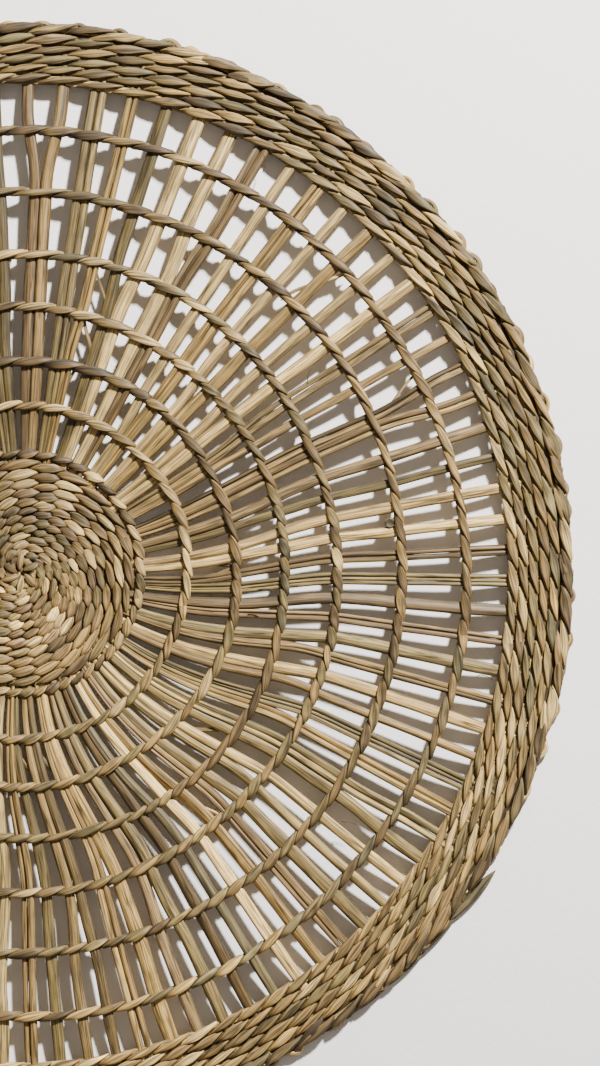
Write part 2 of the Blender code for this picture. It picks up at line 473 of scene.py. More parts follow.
def row_core(name, angles, radius, look, rng, wave_row=0, wander=0.0):
    """The strands' folded edges deep inside a row's twist, in painted shade: a dark line between stitches.
    """
    angle = np.asarray(angles)
    middle = radius + wander * wave(angle, wave_row)
    centre = polar(middle, angle, look["height"] + web_lift(middle) + CORE_HEIGHT)
    # Painted shade: the core's colour is darkened, as it lies deep in the twist's shade
    colour = CORE_PAINTED_SHADE * pick_shade(rng, look["shades"])
    return lay_tube(name, centre, look["core"], CORE_HALF_DEPTH, colour, closed=True)


def node(tree, kind, links=(), **settings):
    """Adds a node, sets its sockets and properties, and links (socket, output) pairs into it."""
    added = tree.nodes.new(kind)
    for key, value in settings.items():
        if key in added.inputs:
            added.inputs[key].default_value = value
        else:
            setattr(added, key, value)
    for socket, source in links:
        tree.links.new(source, added.inputs[socket])
    return added


def set_ramp(ramp, stops):
    """Sets a colour ramp's stops to grey levels, as (position, level) pairs."""
    elements = ramp.color_ramp.elements
    while len(elements) < len(stops):
        elements.new(0.5)
    for element, (position, level) in zip(elements, stops):
        element.position = position
        element.color = (level, level, level, 1.0)


# How often the patterns change in a metre
LINE_CHANGES = 28.0
STREAK_CHANGES = 12.0
BLOTCHES = 170.0

# A fibre line's tones from furrow to crest and back, and a blotch's. Above 1 is paler
LINE_TONES = (
    (0.33, 1.15), (0.385, 0.45), (0.425, 0.5), (0.47, 1.2), (0.53, 1.08),
    (0.56, 0.46), (0.595, 0.55), (0.64, 1.45), (0.72, 0.85),
)
BLOTCH_TONES = ((0.30, 0.80), (0.50, 1.0), (0.70, 1.10))

# How much rougher the hollows are, and how much smoother the waxy crests
HOLLOWS_ROUGHER = 0.12
CRESTS_SMOOTHER = 0.08

# How deep the streaks and the fibre lines are
STREAK_DEPTH = 0.35 * MM
LINE_DEPTH = 0.22 * MM


def seagrass_material(name, fibre_mm, roughness, crack_tone):
    """Sun-dried seagrass, a flat grass-like blade or stem.

    Its fibres run lengthwise as fine lines that catch the light in streaks. It is matt in its
    hollows and has a soft wax sheen on its crests, and drying leaves it blotched and cracked.
    Real fibres lie about 0.3 mm apart, too fine to show, so the lines are drawn about four times
    as coarse.
    """
    material = bpy.data.materials.new(name)
    material.use_nodes = True
    tree = material.node_tree
    shader = tree.nodes["Principled BSDF"]
    shader.inputs["IOR"].default_value = 1.45
    shader.inputs["Specular IOR Level"].default_value = 0.42
    per_fibre = 1.0 / (fibre_mm * MM)
    per_streak = per_fibre / 2.0

    shade = node(tree, "ShaderNodeVertexColor", layer_name="shade")
    uv = node(tree, "ShaderNodeUVMap")
    place = node(tree, "ShaderNodeTexCoord")
    on_uv = [("Vector", uv.outputs["UV"])]
    on_object = [("Vector", place.outputs["Object"])]
    line_place = node(tree, "ShaderNodeMapping", on_uv, Scale=(LINE_CHANGES, per_fibre, 1.0))
    streak_place = node(tree, "ShaderNodeMapping", on_uv, Scale=(STREAK_CHANGES, per_streak, 1.0))
    on_lines = [("Vector", line_place.outputs["Vector"])]
    on_streaks = [("Vector", streak_place.outputs["Vector"])]
    lines = node(tree, "ShaderNodeTexNoise", on_lines, Scale=1.0, Detail=2.0)
    streaks = node(tree, "ShaderNodeTexNoise", on_streaks, Scale=1.0, Detail=1.0)
    blotches = node(tree, "ShaderNodeTexNoise", on_object, Scale=BLOTCHES, Detail=3.0, Roughness=0.6)

    streak_tones = ((0.34, 0.78), (0.44, 1.06), (0.48, crack_tone), (0.525, 1.06), (0.66, 1.3))
    colour = shade.outputs["Color"]
    for pattern, tones in ((lines, LINE_TONES), (streaks, streak_tones), (blotches, BLOTCH_TONES)):
        tone = node(tree, "ShaderNodeValToRGB", [("Fac", pattern.outputs["Fac"])])
        set_ramp(tone, tones)
        mixed = node(tree, "ShaderNodeMix", data_type="RGBA", blend_type="MULTIPLY", clamp_result=False)
        mixed.inputs[0].default_value = 1.0
        tree.links.new(colour, mixed.inputs[6])
        tree.links.new(tone.outputs["Color"], mixed.inputs[7])
        colour = mixed.outputs[2]
    tree.links.new(colour, shader.inputs["Base Color"])

    gloss = node(tree, "ShaderNodeMapRange", [("Value", streaks.outputs["Fac"])])
    gloss.inputs["From Min"].default_value = 0.3
    gloss.inputs["From Max"].default_value = 0.7
    gloss.inputs["To Min"].default_value = roughness + HOLLOWS_ROUGHER
    gloss.inputs["To Max"].default_value = roughness - CRESTS_SMOOTHER
    tree.links.new(gloss.outputs["Result"], shader.inputs["Roughness"])

    on_streak_height = [("Height", streaks.outputs["Fac"])]
    streak_bump = node(tree, "ShaderNodeBump", on_streak_height, Strength=0.55, Distance=STREAK_DEPTH)
    on_line_height = [("Height", lines.outputs["Fac"]), ("Normal", streak_bump.outputs["Normal"])]
    line_bump = node(tree, "ShaderNodeBump", on_line_height, Strength=0.6, Distance=LINE_DEPTH)
    tree.links.new(line_bump.outputs["Normal"], shader.inputs["Normal"])
    return material


def stem_material():
    """Stems of sun-dried seagrass: closer lengthwise lines and the darker drying cracks."""
    name = "dried_seagrass_stem"
    made = bpy.data.materials.get(name)
    return made or seagrass_material(name, fibre_mm=1.2, roughness=0.55, crack_tone=0.26)


def twine_material():
    """Twined blades of sun-dried seagrass: wider lines, and a more matt face."""
    name = "dried_seagrass_blade"
    made = bpy.data.materials.get(name)
    return made or seagrass_material(name, fibre_mm=1.35, roughness=0.6, crack_tone=0.3)


def length(name, description, default):
    """A property that is a length."""
    return FloatProperty(name=name, description=description, default=default, unit="LENGTH")


def colour(name, description, shade):
    """A property that is a colour."""
    return FloatVectorProperty(name=name, description=description, default=linear(shade), subtype="COLOR")


class MatSizes(bpy.types.PropertyGroup):
    diameter: length("Diameter", "Across the finished mat", 0.380)
    mid_height: length("Middle height", "Height of the stakes' middle above the table", 2.6 * MM)
    twine_width: length("Twine width", "Width of a flattened strand where it crosses a stake", 2.95 * MM)
    twine_depth: length("Twine thickness", "Thickness of a flattened strand", 1.35 * MM)
    stem_width: length("Stem width", "Width of a middling stem", 2.1 * MM)
    stem_depth: length("Stem thickness", "Thickness of a middling stem", 2.3 * MM)
    centre_rows: IntProperty(
        name="Centre rows",
        description="Close rows in the dense centre, without its spaced last one",
        default=12,
    )


class GrassShades(bpy.types.PropertyGroup):
    cream: colour("Cream", "The palest stems, and the inner side of a blade", "#BEA167")
    straw: colour("Straw", "Pale yellow stems and blades", "#967A45")
    tan: colour("Tan", "The commonest shade of the blades", "#796138")
    rose: colour("Rose", "Stems and blades that dried reddish", "#745C3C")
    olive: colour("Olive", "Stems and blades that kept some green", "#685934")
    sage: colour("Sage", "The greyest green, as on the loose ends", "#615739")
    brown: colour("Brown", "Stems and blades that dried dark", "#584629")
    umber: colour("Umber", "The darkest blades of the rim, and the torn fibres", "#44351F")


class StageLook(bpy.types.PropertyGroup):
    table_colour: colour("Table colour", "Colour of the pale surface", "#F0EEEB")
    key_watts: FloatProperty(
        name="Key light",
        description="Power of the main soft light",
        default=90.0,
        unit="POWER",
    )
    key_size: length("Key size", "Side of the main soft light", 0.11)
    fill: FloatProperty(
        name="Fill",
        description="Strength of the even light from all round",
        default=0.34,
    )


# The stakes run from under the centre's last rows to this far inside the mat's edge
STAKE_START = 34.0 * MM
STAKE_ENDS_INSIDE = 3.2 * MM

# The stems of a pair are squeezed to this share of the way to the next pair. The higher the
# power, the later that starts
MOST_COVER = 0.8
SQUEEZE_POWER = 6
WIDTH_SQUEEZE = 0.6

# Touching stakes and stems overlap a little: these are the shares of their width that are left
STAKES_LAP = 0.46
STEMS_LAP = 0.96

# A stake has one to three stems. On the right two are more usual, and they are thinner
STEM_COUNTS = (1, 2, 3)
COUNT_WEIGHTS = (60, 36, 4)
MORE_TWOS = 12
STEM_WIDTHS = {1: (1.5, 2.5), 2: (0.8, 1.35), 3: (0.7, 0.95)}
FULLNESS = 1.2
THINNER_ON_RIGHT = 0.35
FLATTER_IN_THREES = 0.65

# A stem ripples up and down and in width, by this much and this many radians to a metre
HEIGHT_RIPPLE = 0.12 * MM
HEIGHT_RIPPLES = 130
WIDTH_RIPPLE = 0.04
WIDTH_RIPPLES = 210
STEM_SQUARENESS = 0.08

# Thin stems that stray, by some share of the way to the next pair
SLIVERS = 26
SLIVER_RINGS = 14
SLIVER_STRAYING = (-0.8, -0.5, 0.5, 0.8)
SLIVER_TUCK = 2.0 * MM
SLIVER_DROP = 0.5 * MM
SLIVER_HALF_DEPTH = 0.4 * MM


class PLACEMAT_OT_stakes(bpy.types.Operator):
    """Lays the stems that run out from the centre, in pairs of stakes that part on the way"""

    bl_idname = "placemat.stakes"
    bl_label = "Stakes"

    def execute(self, context):
        sizes = context.scene.mat_sizes
        rng = random.Random(5)
        radii = np.linspace(STAKE_START, 0.5 * sizes.diameter - STAKE_ENDS_INSIDE, RINGS_PER_STEM)
        tubes = []
        for pair in range(STAKE_PAIRS):
            middle = np.array([pair_angle(pair, r) for r in radii])
            pitch = np.array([0.5 * (pair_angle(pair + 1, r) - pair_angle(pair - 1, r)) for r in radii])
            on_right = max(0.0, math.cos(pair_angle(pair, CENTRE_RADIUS))) ** 4
            stakes = [self.stems(rng, sizes, on_right) for _ in BOTH_SIDES]
            total = sum(stem["width"] for stems in stakes for stem in stems)
            crowding = total / (MOST_COVER * pitch * radii)
            squeeze = (1.0 + crowding ** SQUEEZE_POWER) ** (-1.0 / SQUEEZE_POWER)
            for side, stems in zip(BOTH_SIDES, stakes):
                touching = STAKES_LAP * sum(stem["width"] for stem in stems) * squeeze / radii
                spread = np.array([half_spread(pair, side, r, t) for r, t in zip(radii, touching)])
                name = f"stem_{pair}_{side}"
                tubes += self.lay_stake(name, stems, radii, middle, side * spread, squeeze, sizes)
        tubes += self.slivers(rng, sizes)
        finish_piece("stakes", tubes, stem_material())
        return {"FINISHED"}

    @staticmethod
    def stems(rng, sizes, on_right):
        """The one to three stems of a stake, with their own widths and shades."""
        fullness = FULLNESS - THINNER_ON_RIGHT * on_right
        ones, twos, threes = COUNT_WEIGHTS
        weights = (ones - MORE_TWOS * on_right, twos + MORE_TWOS * on_right, threes)
        count = rng.choices(STEM_COUNTS, weights)[0]
        in_threes = count == 3
        base = pick_shade(rng, STEM_SHADES)
        made = []
        for _ in range(count):
            shade = base + 0.45 * rng.random() * (pick_shade(rng, STEM_SHADES) - base)
            flatter = FLATTER_IN_THREES if in_threes else 1.0
            stem = dict(
                width=sizes.stem_width * rng.uniform(*STEM_WIDTHS[count]) * fullness,
                depth=sizes.stem_depth * rng.uniform(0.85, 1.1) * flatter,
                height=rng.uniform(-0.35, 0.3) * MM,
                roll=rng.uniform(-0.35, 0.35),
                fold=0.0 if in_threes else rng.choice((-0.12, 0.0, 0.0, 0.18, 0.3)),
                drift=rng.uniform(0.05, 0.22) * MM / count,
                drift_rate=rng.uniform(60, 140),
                drift_phase=rng.uniform(0, FULL_TURN),
                fade=rng.uniform(-0.16, 0.16),
                shade=shade * rng.uniform(0.76, 1.34),
            )
            made.append(stem)
        return made

    @staticmethod
    def lay_stake(name, stems, radii, pair_middle, to_side, squeeze, sizes):
        """The stems of one stake, side by side, squeezed where the stakes crowd."""
        tubes = []
        ends = closed_ends(RINGS_PER_STEM)
        width = sum(stem["width"] for stem in stems)
        before = 0.0
        for index, stem in enumerate(stems):
            offset = (before + 0.5 * stem["width"] - 0.5 * width) * STEMS_LAP * squeeze
            before += stem["width"]
            weave = stem["drift"] * np.sin(radii * stem["drift_rate"] + stem["drift_phase"])
            angle = pair_middle + to_side + (offset + weave) / radii
            ripple = HEIGHT_RIPPLE * np.sin(radii * HEIGHT_RIPPLES + stem["drift_phase"])
            height = sizes.mid_height + web_lift(radii) + stem["height"] + ripple
            swell = 1.0 - WIDTH_RIPPLE + WIDTH_RIPPLE * np.sin(radii * WIDTH_RIPPLES)
            half_width = 0.5 * stem["width"] * squeeze ** WIDTH_SQUEEZE * swell * ends
            fade = 1.0 + stem["fade"] * (radii / radii[-1] - 0.5)
            colour = np.outer(fade * paler(pair_middle), stem["shade"])
            outward = UP + polar(1.0, angle + QUARTER_TURN, 0.0) * stem["roll"]
            form = (half_width, 0.5 * stem["depth"] * ends, colour, outward, stem["fold"], STEM_SQUARENESS)
            tubes.append(lay_tube(f"{name}_{index}", polar(radii, angle, height), *form))
        return tubes

    @staticmethod
    def slivers(rng, sizes):
        """Thin stems that stray from one stake to the next, under the others."""
        tubes = []
        ends = closed_ends(SLIVER_RINGS)
        for sliver in range(SLIVERS):
            pair = rng.randrange(STAKE_PAIRS)
            row = rng.randrange(BORDER - 1)
            start, end = OPEN_ROW_RADII[row] - SLIVER_TUCK, OPEN_ROW_RADII[row + 1] + SLIVER_TUCK
            radii = np.linspace(start, end, SLIVER_RINGS)
            straying = rng.choice(SLIVER_STRAYING) * smooth_step(radii, start, end)
            angle = np.array([pair_angle(pair, r) for r in radii]) + straying * FULL_TURN / STAKE_PAIRS
            centre = polar(radii, angle, sizes.mid_height - SLIVER_DROP + web_lift(radii))
            colour = pick_shade(rng, STEM_SHADES) * rng.uniform(0.8, 1.2)
            half_width = rng.uniform(0.4, 0.75) * MM * ends
            tubes.append(lay_tube(f"sliver_{sliver}", centre, half_width, SLIVER_HALF_DEPTH * ends, colour))
        return tubes


# Half the width of a stake that has parted from its pair, where an open row binds it
SINGLE_HALF_WIDTH = 2.0 * MM


def unit_angles(row):
    """The angles of the stakes that an open row binds singly: a parted pair counts twice."""
    radius = OPEN_ROW_RADII[row]
    angles = []
    for pair in range(STAKE_PAIRS):
        if PARTS_AT[pair] < row:
            angles += stake_angles(pair, radius, SINGLE_HALF_WIDTH / radius)
        else:
            angles.append(pair_angle(pair, radius))
    return angles


class PLACEMAT_OT_open_rows(bpy.types.Operator):
    """Twines the six open rows that hold the stakes apart"""

    bl_idname = "placemat.open_rows"
    bl_label = "Open rows"

    def execute(self, context):
        look = twine_look(context.scene.mat_sizes, TWINE_SHADES, 0.3)
        tubes = []
        for row, radius in enumerate(OPEN_ROW_RADII):
            rng = random.Random(40 + row)
            plan = (unit_angles(row), radius, look, rng, row, ROW_WANDER)
            tubes += twine_row(f"open_{row}", *plan)
            tubes.append(row_core(f"open_core_{row}", *plan))
        finish_piece("open_rows", tubes, twine_material())
        return {"FINISHED"}


# The centre is twined round bundles of stems: singly outside this radius, in twos inside
CENTRE_BUNDLES = 24
SINGLES_RADIUS = 0.0125
CENTRE_TWIST = math.radians(1.6)
BUNDLE_OFFSET = 0.2
BUNDLE_JITTER = 0.08

# The centre's rows in mm: the first one's radius, how far the others lie from it, and how much
# of that comes from gaps that grow outwards
FIRST_RADIUS_MM = 4.2
EVEN_REACH_MM = 29.3
GROWING_REACH_MM = 3.8
CENTRE_LOOSENESS = 0.25 * MM
LAST_ROW_INSIDE = 0.3 * MM

# The pinwheel of first blades, and the stems that cross under the middle
HUB_BLADES = 6
HUB_TURN = math.radians(38)
FOUNDATION_STEMS = 9
FOUNDATION_RINGS = 24
FOUNDATION_REACH = 38.5 * MM
FOUNDATION_STEP = 0.25 * MM


class PLACEMAT_OT_centre(bpy.types.Operator):
    """Twines the dense centre, with longer stitches the further out a row lies"""

    bl_idname = "placemat.centre"
    bl_label = "Dense centre"

    def execute(self, context):
        sizes = context.scene.mat_sizes
        rng = random.Random(77)
        tubes = []
        offsets = [rng.uniform(-BUNDLE_OFFSET, BUNDLE_OFFSET) for _ in range(CENTRE_BUNDLES)]
        for row in range(sizes.centre_rows):
            share = row / (sizes.centre_rows - 1)
            radius = (FIRST_RADIUS_MM + EVEN_REACH_MM * share + GROWING_REACH_MM * share * share) * MM
            bundles = range(0, CENTRE_BUNDLES, 1 if radius > SINGLES_RADIUS else 2)
            places = [k + offsets[k] + rng.uniform(-BUNDLE_JITTER, BUNDLE_JITTER) for k in bundles]
            angles = [CENTRE_TWIST * row + FULL_TURN * place / CENTRE_BUNDLES for place in places]
            form = dict(half_width=(1.4 + 0.24 * share) * MM, height=2.75 * MM, side=1.0 * MM)
            stitch = dict(neck=0.3, bluntness=2.1 - 0.7 * share, overlap=0.24 + 0.2 * share)
            look = twine_look(sizes, CENTRE_SHADES, 0.8, looseness=CENTRE_LOOSENESS, **form, **stitch)
            tubes += twine_row(f"centre_{row}", angles, radius, look, rng)
        stitch = dict(half_width=1.4 * MM, neck=0.34, bluntness=1.8, overlap=0.26)
        last_look = twine_look(sizes, CENTRE_SHADES, 0.8, looseness=CENTRE_LOOSENESS, **stitch)
        angles = [pair_angle(pair, CENTRE_RADIUS) for pair in range(STAKE_PAIRS)]
        tubes += twine_row("centre_last", angles, CENTRE_RADIUS - LAST_ROW_INSIDE, last_look, rng)
        tubes += self.foundation(rng, sizes)
        tubes += self.hub(rng)
        finish_piece("dense_centre", tubes, twine_material())
        return {"FINISHED"}

    @staticmethod
    def hub(rng):
        """The first blades, laid across the middle like a pinwheel, with dark gaps between them."""
        tubes = []
        for blade in range(HUB_BLADES):
            angle = math.radians(360 / HUB_BLADES * blade + rng.uniform(-9, 9))
            start = polar(radius=1.1 * MM, angle=angle, height=4.7 * MM)
            end = polar(radius=7.4 * MM, angle=angle - HUB_TURN, height=4.3 * MM)
            form = dict(bow=0.6 * MM, half_width=1.25 * MM, half_depth=0.5 * MM, fold=0.2)
            colour = pick_shade(rng, CENTRE_SHADES) * rng.uniform(0.95, 1.25)
            tubes.append(leaf(f"hub_{blade}", start, end, colour=colour, **form))
        return tubes

    @staticmethod
    def foundation(rng, sizes):
        """The stems that cross under the middle, where the weaving starts."""
        tubes = []
        places = np.linspace(-FOUNDATION_REACH, FOUNDATION_REACH, FOUNDATION_RINGS)
        ends = closed_ends(FOUNDATION_RINGS)
        for stem in range(FOUNDATION_STEMS):
            angle = math.pi * stem / FOUNDATION_STEMS + rng.uniform(-0.08, 0.08)
            way = np.array([math.cos(angle), math.sin(angle), 0.0])
            beside = np.array([-way[1], way[0], 0.0]) * rng.uniform(-1.0, 1.0) * MM
            height = sizes.mid_height + FOUNDATION_STEP * (stem % 3 - 1)
            centre = places[:, None] * way + beside + UP * height
            form = dict(half_width=1.2 * MM * ends, half_depth=0.7 * MM * ends)
            colour = pick_shade(rng, STEM_SHADES)
            tubes.append(lay_tube(f"foundation_{stem}", centre, colour=colour, **form))
        return tubes


# The rim's width, and how uneven the border's stitches are
RIM_WIDTH = 4.0 * MM
BORDER_JITTER = 0.006
BORDER_SHIFT = 0.008


class PLACEMAT_OT_border(bpy.types.Operator):
    """Twines the close rows of the border round every stake"""

    bl_idname = "placemat.border"
    bl_label = "Border rows"

    def execute(self, context):
        sizes = context.scene.mat_sizes
        pitch = (0.5 * sizes.diameter - RIM_WIDTH - BORDER_START) / BORDER_ROWS
        form = dict(half_width=1.5 * MM, half_depth=0.68 * MM, side=1.05 * MM, rise=1.5 * MM)
        stitch = dict(height=2.9 * MM, neck=0.22, bluntness=1.2, overlap=0.52, core=1.6 * MM)
        look = twine_look(sizes, BORDER_SHADES, 0.7, **form, **stitch)
        tubes = []
        for row in range(BORDER_ROWS):
            rng = random.Random(90 + row)
            radius = BORDER_START + (row + 0.5) * pitch
            wander = ROW_WANDER * (BORDER_ROWS - row) / (BORDER_ROWS + 1)
            angles = [angle for pair in range(STAKE_PAIRS) for angle in stake_angles(pair, radius, 0.0)]
            shift = BORDER_SHIFT * row
            angles = [angle + rng.uniform(-BORDER_JITTER, BORDER_JITTER) + shift for angle in angles]
            plan = (radius, look, rng, BORDER, wander)
            tubes += twine_row(f"border_{row}", angles, *plan)
            tubes.append(row_core(f"border_core_{row}", angles[::2], *plan))
        finish_piece("border_rows", tubes, twine_material())
        return {"FINISHED"}


# The rim's twining
RIM_BINDINGS = 100
RIM_INSIDE = 1.7 * MM
RIM_JITTER = 0.25

# A second core lies this far inside the rim's own, under its joint with the border
RIM_BASE_INSIDE = 2.2 * MM

# The stakes' ends, turned back under the border
TURNED_RINGS = 8
TURNED_START = 1.2 * MM
TURNED_ENDS_INSIDE = 2.6 * MM
TURNED_HEIGHT = 2.6 * MM

# The blades folded over the rim, and the bends at the mat's edge
FOLDED_BLADES = 50
BENDS = 88
BEND_RINGS = 12
BEND_INSIDE = 1.4 * MM
BEND_HEIGHT = 3.4 * MM
BEND_DROP = 1.9 * MM
BEND_ROUNDNESS = 0.8


class PLACEMAT_OT_rim(bpy.types.Operator):
    """Turns the rim, where the ends of the stakes are folded back and bound"""

    bl_idname = "placemat.rim"
    bl_label = "Turned rim"

    def execute(self, context):
        sizes = context.scene.mat_sizes
        rng = random.Random(301)
        radius = 0.5 * sizes.diameter - RIM_INSIDE
        pitch = FULL_TURN / RIM_BINDINGS
        angles = [pitch * k + rng.uniform(-RIM_JITTER, RIM_JITTER) * pitch for k in range(RIM_BINDINGS)]
        form = dict(half_width=1.75 * MM, half_depth=0.9 * MM, side=0.9 * MM, rise=1.75 * MM)
        stitch = dict(height=2.8 * MM, looseness=0.6 * MM, neck=0.25, overlap=0.5)
        look = twine_look(sizes, RIM_SHADES, 0.9, **form, **stitch)
        tubes = twine_row("rim", angles, radius, look, rng)
        tubes.append(row_core("rim_core", angles[::2], radius, look, rng))
        tubes += self.folded_blades(rng, radius)
        tubes += self.bent_stems(rng, radius)
        tubes += self.turned_ends(sizes)
        tubes.append(row_core("rim_base", angles[::2], radius - RIM_BASE_INSIDE, look, rng))
        finish_piece("turned_rim", tubes, twine_material())
        return {"FINISHED"}

    @staticmethod
    def turned_ends(sizes):
        """The ends of the stakes, turned back at the rim and tucked in between the stakes."""
        rng = random.Random(61)
        tubes = []
        inner = BORDER_START + TURNED_START
        radii = np.linspace(inner, 0.5 * sizes.diameter - TURNED_ENDS_INSIDE, TURNED_RINGS)
        ends = closed_ends(TURNED_RINGS)
        for pair in range(STAKE_PAIRS):
            for share in (0.0, 0.5):
                here, after = pair_angle(pair, inner), pair_angle(pair + 1, inner)
                slant = np.linspace(0.0, rng.uniform(-0.006, 0.006), TURNED_RINGS)
                angle = here + share * (after - here) + slant
                centre = polar(radii, angle, TURNED_HEIGHT + web_lift(radii))
                colour = pick_shade(rng, STEM_SHADES) * rng.uniform(0.9, 1.2)
                form = dict(half_width=rng.uniform(2.2, 2.9) * MM * ends, half_depth=0.6 * MM * ends)
                name = f"turned_end_{pair}_{share}"
                tubes.append(lay_tube(name, centre, colour=colour, squareness=0.45, **form))
        return tubes

    @staticmethod
    def folded_blades(rng, radius):
        """Broad blades that lie slantwise over the rim's twining."""
        tubes = []
        for blade in range(FOLDED_BLADES):
            angle = FULL_TURN * (blade + rng.uniform(-0.35, 0.35)) / FOLDED_BLADES
            half_length = 0.5 * rng.uniform(11.0, 17.0) * MM / radius
            inner = radius - rng.uniform(2.0, 3.2) * MM
            outer = radius + rng.uniform(0.4, 1.4) * MM
            start = polar(outer, angle - half_length, height=3.9 * MM)
            end = polar(inner, angle + half_length, height=4.3 * MM)
            colour = pick_shade(rng, RIM_SHADES) * rng.uniform(0.85, 1.15)
            form = dict(bow=0.9 * MM, half_width=rng.uniform(1.1, 1.7) * MM, half_depth=0.6 * MM)
            fold = rng.choice((-0.1, 0.0, 0.3))
            tubes.append(leaf(f"fold_{blade}", start, end, colour=colour, fold=fold, **form))
        return tubes

    @staticmethod
    def bent_stems(rng, radius):
        """The bends of the stakes' ends: out from under one blade and back under the next."""
        tubes = []
        places = np.linspace(0.0, 1.0, BEND_RINGS)
        ends = closed_ends(BEND_RINGS)
        for bend in range(BENDS):
            start = FULL_TURN * (bend + rng.uniform(-0.3, 0.3)) / BENDS
            angle = start + rng.uniform(8.0, 12.0) * MM / radius * places
            reach = rng.uniform(3.1, 4.4) * MM
            route = radius - BEND_INSIDE + reach * np.sin(math.pi * places) ** BEND_ROUNDNESS
            centre = polar(route, angle, BEND_HEIGHT - BEND_DROP * places)
            colour = pick_shade(rng, STEM_SHADES) * rng.uniform(1.0, 1.5)
            form = dict(half_width=rng.uniform(0.8, 1.25) * MM * ends, half_depth=0.6 * MM * ends)
            out_and_up = polar(0.8, angle, 0.6)
            tubes.append(lay_tube(f"bend_{bend}", centre, colour=colour, outward=out_and_up, **form))
        return tubes


# Loose blades along the rim: the middle's angle and the length in degrees, how far its two ends
# lie outside the rim in mm, and its half width in mm. The last one's tip sticks out
LOOSE_BLADES = (
    (-51.0, 7.0, -0.6, 0.4, 1.5),
    (-46.5, 7.5, -0.3, 0.9, 1.5),
    (-41.5, 7.5, -0.2, 1.2, 1.5),
    (-36.0, 8.0, -0.4, 3.4, 2.0),
)

# The cut stem end: its place, and from the table up its heights and half widths in mm
CUT_RADIUS = 128.3 * MM
CUT_ANGLE = math.radians(9.0)
CUT_BETWEEN = (0.62, 0.38)
CUT_HEIGHTS = (1.2, 1.2, 2.4, 3.8, 5.2, 6.6, 6.85, 6.8, 6.55, 6.5)
CUT_HALF_WIDTHS = (0.0, 1.7, 1.75, 1.8, 1.8, 1.8, 1.65, 1.35, 1.0, 0.0)
CUT_TONES = (1.0, 1.0, 1.0, 1.0, 1.0, 1.0, 1.0, 0.8, 0.5, 0.4)

# Torn fibres: the angle in degrees and the radius in mm where each comes out
HAIRS = (
    (-4.2, 80.8), (-10.6, 78.5), (-18.5, 51.5), (-13.0, 160.0),
    (59.0, 160.0), (33.0, 118.0), (-38.0, 139.0),
)
HAIR_RINGS = 10
HAIR_HEIGHT = 3.6 * MM
HAIR_HALF_WIDTH = 0.17 * MM
HAIR_TAPER = 0.6


class PLACEMAT_OT_loose_ends(bpy.types.Operator):
    """Adds the loose blades outside the rim, the cut stem end and a few fine hairs"""

    bl_idname = "placemat.loose_ends"
    bl_label = "Loose ends"

    def execute(self, context):
        rng = random.Random(8)
        radius = 0.5 * context.scene.mat_sizes.diameter
        tubes = []
        for blade, (middle, length, out_start, out_end, half_width) in enumerate(LOOSE_BLADES):
            angle, half_length = math.radians(middle), 0.5 * math.radians(length)
            start = polar(radius + out_start * MM, angle - half_length, height=1.8 * MM)
            end = polar(radius + out_end * MM, angle + half_length, height=1.6 * MM)
            colour = shade_of("sage") * rng.uniform(0.85, 1.0)
            form = dict(bow=0.7 * MM, half_width=half_width * MM, half_depth=0.5 * MM)
            tubes.append(leaf(f"blade_{blade}", start, end, colour=colour, **form))
        tubes.append(self.cut_stem())
        tubes += self.hairs(rng)
        finish_piece("loose_ends", tubes, twine_material())
        return {"FINISHED"}

    @staticmethod
    def cut_stem():
        """The cut end of a stem, upright beside the fifth open row, with a slightly hollow top."""
        angles = sorted(unit_angles(BORDER - 1))
        after = next(k for k, angle in enumerate(angles) if angle > CUT_ANGLE)
        beside = CUT_BETWEEN[0] * angles[after - 1] + CUT_BETWEEN[1] * angles[after]
        centre = polar(CUT_RADIUS, np.full(len(CUT_HEIGHTS), beside), 0.0)
        centre[:, 2] = np.array(CUT_HEIGHTS) * MM
        half_widths = np.array(CUT_HALF_WIDTHS) * MM
        colour = np.outer(CUT_TONES, shade_of("sage"))
        form = (half_widths, half_widths, colour)
        return lay_tube("cut_stem", centre, *form, (0.0, 1.0, 0.0), squareness=0.0, upright=True)

    @staticmethod
    def hairs(rng):
        """Fine torn fibres that curl out of the rows over the gaps."""
        tubes = []
        places = np.linspace(0.0, 1.0, HAIR_RINGS)
        thin = HAIR_HALF_WIDTH * (1.0 - HAIR_TAPER * places) * closed_ends(HAIR_RINGS)
        for hair, (degrees, radius_mm) in enumerate(HAIRS):
            curl = rng.uniform(0.6, 2.2) * rng.choice(BOTH_SIDES)
            length = rng.uniform(5.0, 8.0) * MM
            heading = math.radians(degrees + rng.uniform(-70, 70)) + curl * (places - 0.5)
            steps = polar(1.0, heading, 0.0) * length / (HAIR_RINGS - 1)
            radius = radius_mm * MM
            start = polar(radius, math.radians(degrees), HAIR_HEIGHT + web_lift(radius))
            centre = start + np.cumsum(steps, axis=0)
            tubes.append(lay_tube(f"hair_{hair}", centre, thin, thin, shade_of("umber")))
        return tubes


# The table lies just under the mat, and the main light comes from the photo's upper right
TABLE_SIZE = 6.0
TABLE_DROP = 0.1 * MM
KEY_AZIMUTH = math.radians(33.0)
KEY_ELEVATION = math.radians(38.0)
KEY_DISTANCE = 1.5
KEY_COLOUR = (1.0, 0.975, 0.94)
ROOM_COLOUR = (1.0, 0.89, 0.78, 1.0)

# The board's grain: how often it changes in a metre, and how deep it is
GRAINS = 420.0
GRAIN_DEPTH = 0.3 * MM


